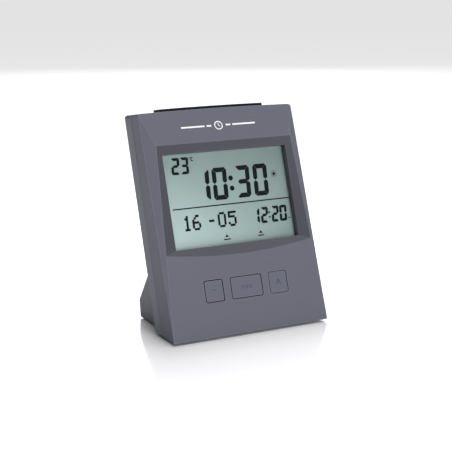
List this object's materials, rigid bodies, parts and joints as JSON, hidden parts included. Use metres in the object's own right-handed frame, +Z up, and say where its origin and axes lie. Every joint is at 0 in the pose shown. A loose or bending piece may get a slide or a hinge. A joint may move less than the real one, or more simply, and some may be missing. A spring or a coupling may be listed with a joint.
{
  "type": "desk clock",
  "caption": "Small leaning desk clock with a liquid-crystal display, a row of keys, a long press bar on top and a wedge foot that holds its cells.",
  "frame": {"origin": "on the table under the middle of the clock, at the bottom centre of its box", "axes": "+X to the right seen from the front, +Y from the front to the back, +Z up; the display faces -Y and leans back 17.55 degrees"},
  "size_m": [0.1, 0.0634, 0.1258],
  "materials": {
    "grey_plastic": "satin, finely textured",
    "key_plastic": "satin, finely textured",
    "black_plastic": "satin",
    "clear_plastic": "clear, polished",
    "display_glass": "grey-green display cell with a reflective back",
    "white_plastic": "matt",
    "dark_rubber": "matt",
    "circuit_board": "solder mask",
    "plated_steel": "plated",
    "speaker_paper": "matt paper",
    "black_sleeve": "smooth sleeve",
    "red_sleeve": "smooth sleeve",
    "cell_wrapper": "plain printed wrapper"
  },
  "bodies": {
    "clock": {"front_housing": "grey_plastic", "rear_housing": "grey_plastic", "window_tape": "dark_rubber", "lcd_window": "clear_plastic", "lcd_panel": "display_glass", "diffuser_sheet": "white_plastic", "light_guide": "clear_plastic", "lcd_holder": "white_plastic", "backlight_lamp_left": "white_plastic", "backlight_lamp_right": "white_plastic", "contact_strip": "dark_rubber", "main_board": "circuit_board", "board_screw_1": "plated_steel", "board_screw_2": "plated_steel", "board_screw_3": "plated_steel", "board_screw_4": "plated_steel", "chip_cover": "black_plastic", "capacitor_left": "black_sleeve", "capacitor_right": "black_sleeve", "quartz_crystal": "plated_steel", "temperature_sensor": "black_sleeve", "key_minus_switch": "black_plastic", "key_set_switch": "black_plastic", "key_plus_switch": "black_plastic", "bar_switch": "black_plastic", "bar_board": "circuit_board", "reset_switch": "black_plastic", "speaker_basket": "plated_steel", "speaker_cone": "speaker_paper", "speaker_magnet": "plated_steel", "speaker_ring": "black_plastic", "battery_lower": "cell_wrapper", "battery_upper": "cell_wrapper", "positive_contact": "plated_steel", "negative_contact": "plated_steel", "bridge_contact": "plated_steel", "bridge_spring": "plated_steel", "negative_spring": "plated_steel", "housing_screw_1": "plated_steel", "housing_screw_2": "plated_steel", "housing_screw_3": "plated_steel", "housing_screw_4": "plated_steel", "front_foot_left": "dark_rubber", "front_foot_right": "dark_rubber", "rear_foot_left": "dark_rubber", "rear_foot_right": "dark_rubber", "battery_lead_red": "red_sleeve", "battery_lead_black": "black_sleeve", "speaker_lead_red": "red_sleeve", "speaker_lead_black": "black_sleeve", "bar_lead_red": "red_sleeve", "bar_lead_black": "black_sleeve"},
    "key_minus": {"key_minus": "key_plastic"},
    "key_set": {"key_set": "key_plastic"},
    "key_plus": {"key_plus": "key_plastic"},
    "top_bar": {"top_bar": "black_plastic"},
    "reset_key": {"reset_key": "dark_rubber"},
    "battery_cover": {"battery_cover": "grey_plastic"}
  },
  "joints": [
    {"name": "key_minus_press", "type": "slide", "parent": "clock", "child": "key_minus", "axis": [0, 0.9535, -0.3015], "range_m": [0, 0.0009], "stiffness_N_per_m": 400},
    {"name": "key_set_press", "type": "slide", "parent": "clock", "child": "key_set", "axis": [0, 0.9535, -0.3015], "range_m": [0, 0.0009], "stiffness_N_per_m": 400},
    {"name": "key_plus_press", "type": "slide", "parent": "clock", "child": "key_plus", "axis": [0, 0.9535, -0.3015], "range_m": [0, 0.0009], "stiffness_N_per_m": 400},
    {"name": "top_bar_press", "type": "slide", "parent": "clock", "child": "top_bar", "axis": [0, -0.3015, -0.9535], "range_m": [0, 0.0012], "stiffness_N_per_m": 500},
    {"name": "reset_key_press", "type": "slide", "parent": "clock", "child": "reset_key", "axis": [0, -0.9535, 0.3015], "range_m": [0, 0.0006], "stiffness_N_per_m": 400},
    {"name": "battery_cover_lift", "type": "slide", "parent": "clock", "child": "battery_cover", "axis": [0, 0.8072, 0.5903], "range_m": [0, 0.03]}
  ]
}
